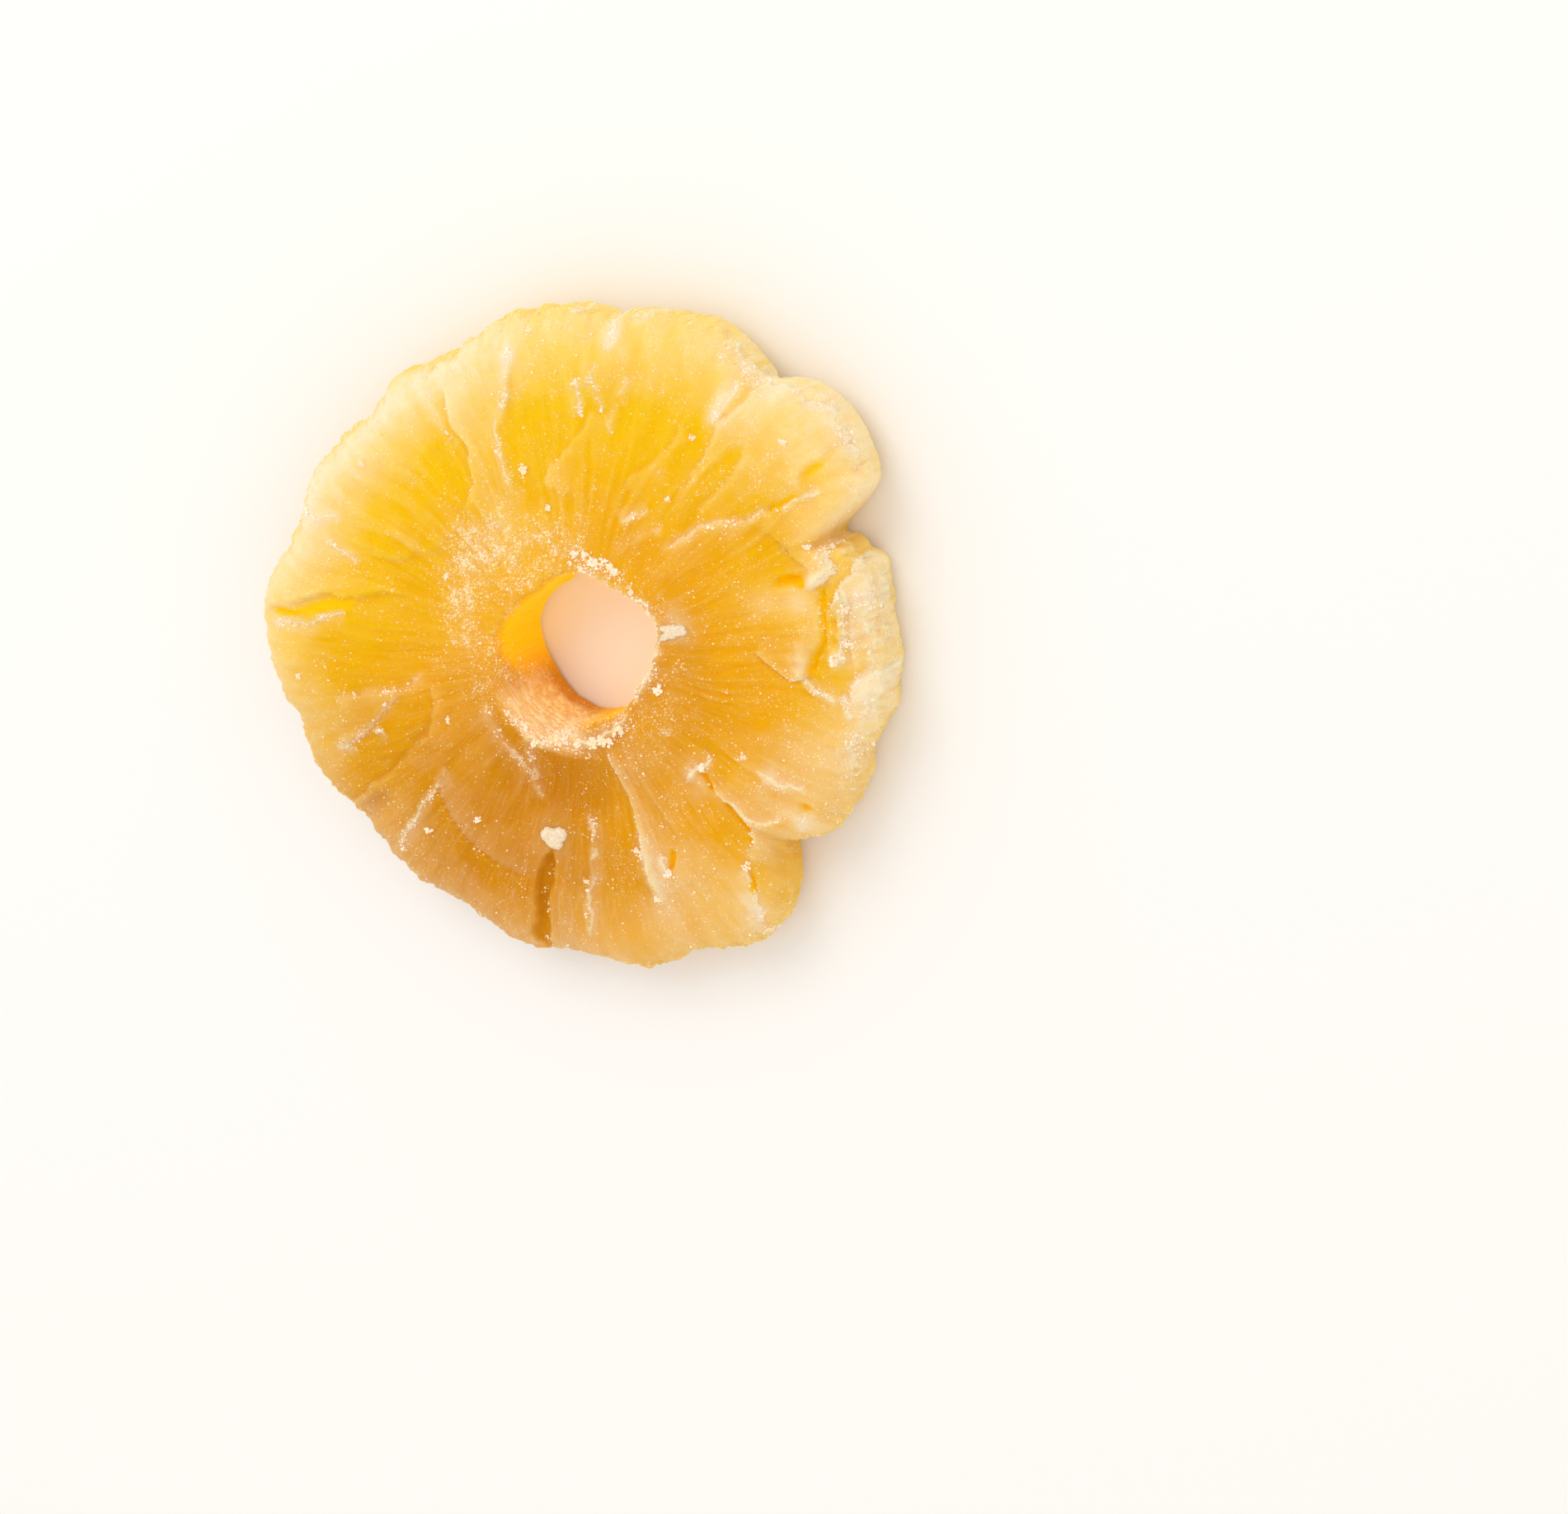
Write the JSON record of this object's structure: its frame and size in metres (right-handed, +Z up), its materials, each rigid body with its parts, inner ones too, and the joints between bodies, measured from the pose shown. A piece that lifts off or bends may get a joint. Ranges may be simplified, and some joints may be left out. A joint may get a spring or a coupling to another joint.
{
  "type": "candied pineapple ring",
  "caption": "Thick ring of candied pineapple that lies flat, with a cored hole, a scalloped edge, lapped folds, cracks and a frost of sugar.",
  "frame": {"origin": "on the ground, under the middle of the ring's box", "axes": "+Z up, out of the cut face that shows; +X to the right and +Y to the far side of that face"},
  "size_m": [0.0844, 0.0834, 0.0147],
  "materials": {
    "candied_flesh": "firm clear yellow fruit flesh dried in sugar, satin, with paler frosted rims and folds",
    "sugar": "fine white sugar crystals and thin crusts of sugar"
  },
  "bodies": {
    "root": {"pineapple_ring": "candied_flesh"}
  },
  "joints": []
}
